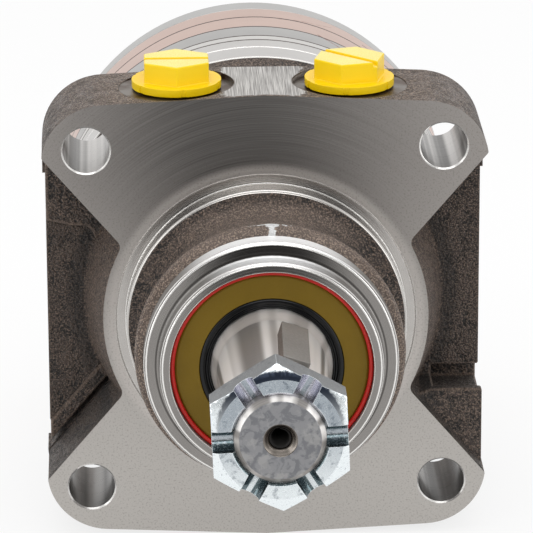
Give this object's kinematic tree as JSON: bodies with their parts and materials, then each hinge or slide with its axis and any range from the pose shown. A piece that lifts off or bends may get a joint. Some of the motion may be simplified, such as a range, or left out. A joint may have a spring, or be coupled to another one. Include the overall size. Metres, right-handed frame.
{
  "type": "hydraulic wheel motor",
  "caption": "Low-speed orbital hydraulic motor with a square wheel flange, top ports, a tapered keyed shaft with a slotted nut, and a bolted stack of plates behind.",
  "frame": {"origin": "centre of the machined mounting face, on the shaft's axis", "axes": "-Y along the shaft, out of the mounting face; +Z towards the ports; +X to the right seen from the shaft's end"},
  "size_m": [0.1308, 0.2419, 0.1431],
  "materials": {
    "cast_body": "bare sand-cast iron with machined faces",
    "turned_plate": "turned and ground",
    "bright_steel": "ground",
    "dark_steel": "hardened, dark",
    "zinc_plate": "bright zinc plated",
    "olive_steel": "yellow passivated sheet steel",
    "red_rubber": "moulded",
    "black_rubber": "moulded, glossy",
    "yellow_plastic": "moulded polyethylene",
    "cage_bronze": "stamped"
  },
  "bodies": {
    "motor_body": {"housing": "cast_body", "dust_seal_case": "olive_steel", "dust_seal_rim": "red_rubber", "dust_seal_lip": "black_rubber", "outer_bearing_cup": "bright_steel", "seal_backup_washer": "dark_steel", "shaft_seal": "black_rubber", "front_thrust_washer": "bright_steel", "inner_bearing_cup": "bright_steel", "rear_thrust_washer": "bright_steel", "wear_plate": "turned_plate", "stator_ring": "dark_steel", "manifold": "turned_plate", "commutator_ring": "turned_plate", "end_cover": "turned_plate", "cover_bolts": "dark_steel", "face_seal_1": "black_rubber", "face_seal_2": "black_rubber", "face_seal_3": "black_rubber", "face_seal_4": "black_rubber", "face_seal_5": "black_rubber"},
    "shaft": {"output_shaft": "bright_steel", "shaft_key": "dark_steel", "castle_nut": "zinc_plate"},
    "outer_bearing_set": {"outer_bearing_cage": "cage_bronze", "outer_bearing_needles": "bright_steel"},
    "inner_bearing_set": {"inner_bearing_cage": "cage_bronze", "inner_bearing_needles": "bright_steel"},
    "front_thrust_set": {"front_thrust_cage": "cage_bronze", "front_thrust_needles": "bright_steel"},
    "rear_thrust_set": {"rear_thrust_cage": "cage_bronze", "rear_thrust_needles": "bright_steel"},
    "commutator": {"commutator": "bright_steel", "commutator_seal": "black_rubber"},
    "rotor": {"rotor": "bright_steel"},
    "drive_link": {"drive_link": "dark_steel"},
    "port_plug_left": {"port_plug_left": "yellow_plastic"},
    "port_plug_right": {"port_plug_right": "yellow_plastic"},
    "roller_1": {"roller_1": "bright_steel"},
    "roller_2": {"roller_2": "bright_steel"},
    "roller_3": {"roller_3": "bright_steel"},
    "roller_4": {"roller_4": "bright_steel"},
    "roller_5": {"roller_5": "bright_steel"},
    "roller_6": {"roller_6": "bright_steel"},
    "roller_7": {"roller_7": "bright_steel"}
  },
  "joints": [
    {"name": "shaft_spin", "type": "hinge", "parent": "motor_body", "child": "shaft", "pos_m": [0, 0, 0], "axis": [0, 1, 0], "continuous": true},
    {"name": "outer_bearing_spin", "type": "hinge", "parent": "motor_body", "child": "outer_bearing_set", "pos_m": [0, 0, 0], "axis": [0, 1, 0], "continuous": true},
    {"name": "inner_bearing_spin", "type": "hinge", "parent": "motor_body", "child": "inner_bearing_set", "pos_m": [0, 0, 0], "axis": [0, 1, 0], "continuous": true},
    {"name": "front_thrust_spin", "type": "hinge", "parent": "motor_body", "child": "front_thrust_set", "pos_m": [0, 0, 0], "axis": [0, 1, 0], "continuous": true},
    {"name": "rear_thrust_spin", "type": "hinge", "parent": "motor_body", "child": "rear_thrust_set", "pos_m": [0, 0, 0], "axis": [0, 1, 0], "continuous": true},
    {"name": "commutator_orbit", "type": "hinge", "parent": "motor_body", "child": "commutator", "pos_m": [0, 0, 0], "axis": [0, 1, 0], "continuous": true},
    {"name": "rotor_spin", "type": "hinge", "parent": "commutator", "child": "rotor", "pos_m": [0, 0.09605, 0.0032], "axis": [0, 1, 0], "continuous": true},
    {"name": "drive_link_spin", "type": "hinge", "parent": "commutator", "child": "drive_link", "pos_m": [0, 0.034, 0], "axis": [0, 0.9987, 0.0515], "continuous": true},
    {"name": "roller_1_spin", "type": "hinge", "parent": "motor_body", "child": "roller_1", "pos_m": [0, 0.09605, 0.036], "axis": [0, 1, 0], "continuous": true},
    {"name": "roller_2_spin", "type": "hinge", "parent": "motor_body", "child": "roller_2", "pos_m": [0.02815, 0.09605, 0.02245], "axis": [0, 1, 0], "continuous": true},
    {"name": "roller_3_spin", "type": "hinge", "parent": "motor_body", "child": "roller_3", "pos_m": [0.0351, 0.09605, -0.00801], "axis": [0, 1, 0], "continuous": true},
    {"name": "roller_4_spin", "type": "hinge", "parent": "motor_body", "child": "roller_4", "pos_m": [0.01562, 0.09605, -0.03243], "axis": [0, 1, 0], "continuous": true},
    {"name": "roller_5_spin", "type": "hinge", "parent": "motor_body", "child": "roller_5", "pos_m": [-0.01562, 0.09605, -0.03243], "axis": [0, 1, 0], "continuous": true},
    {"name": "roller_6_spin", "type": "hinge", "parent": "motor_body", "child": "roller_6", "pos_m": [-0.0351, 0.09605, -0.00801], "axis": [0, 1, 0], "continuous": true},
    {"name": "roller_7_spin", "type": "hinge", "parent": "motor_body", "child": "roller_7", "pos_m": [-0.02815, 0.09605, 0.02245], "axis": [0, 1, 0], "continuous": true},
    {"name": "port_plug_left_lift", "type": "slide", "parent": "motor_body", "child": "port_plug_left", "axis": [0, 0, 1], "range_m": [0, 0.025]},
    {"name": "port_plug_right_lift", "type": "slide", "parent": "motor_body", "child": "port_plug_right", "axis": [0, 0, 1], "range_m": [0, 0.025]}
  ],
  "couplings": [
    {"joint": "outer_bearing_spin", "follows": "shaft_spin", "ratio": 0.45455},
    {"joint": "inner_bearing_spin", "follows": "shaft_spin", "ratio": 0.4635},
    {"joint": "front_thrust_spin", "follows": "shaft_spin", "ratio": 0.5},
    {"joint": "rear_thrust_spin", "follows": "shaft_spin", "ratio": 0.5},
    {"joint": "commutator_orbit", "follows": "shaft_spin", "ratio": -6},
    {"joint": "rotor_spin", "follows": "shaft_spin", "ratio": 7},
    {"joint": "drive_link_spin", "follows": "shaft_spin", "ratio": 7},
    {"joint": "roller_1_spin", "follows": "shaft_spin", "ratio": -4.6469},
    {"joint": "roller_2_spin", "follows": "shaft_spin", "ratio": -4.6469},
    {"joint": "roller_3_spin", "follows": "shaft_spin", "ratio": -4.6469},
    {"joint": "roller_4_spin", "follows": "shaft_spin", "ratio": -4.6469},
    {"joint": "roller_5_spin", "follows": "shaft_spin", "ratio": -4.6469},
    {"joint": "roller_6_spin", "follows": "shaft_spin", "ratio": -4.6469},
    {"joint": "roller_7_spin", "follows": "shaft_spin", "ratio": -4.6469}
  ]
}
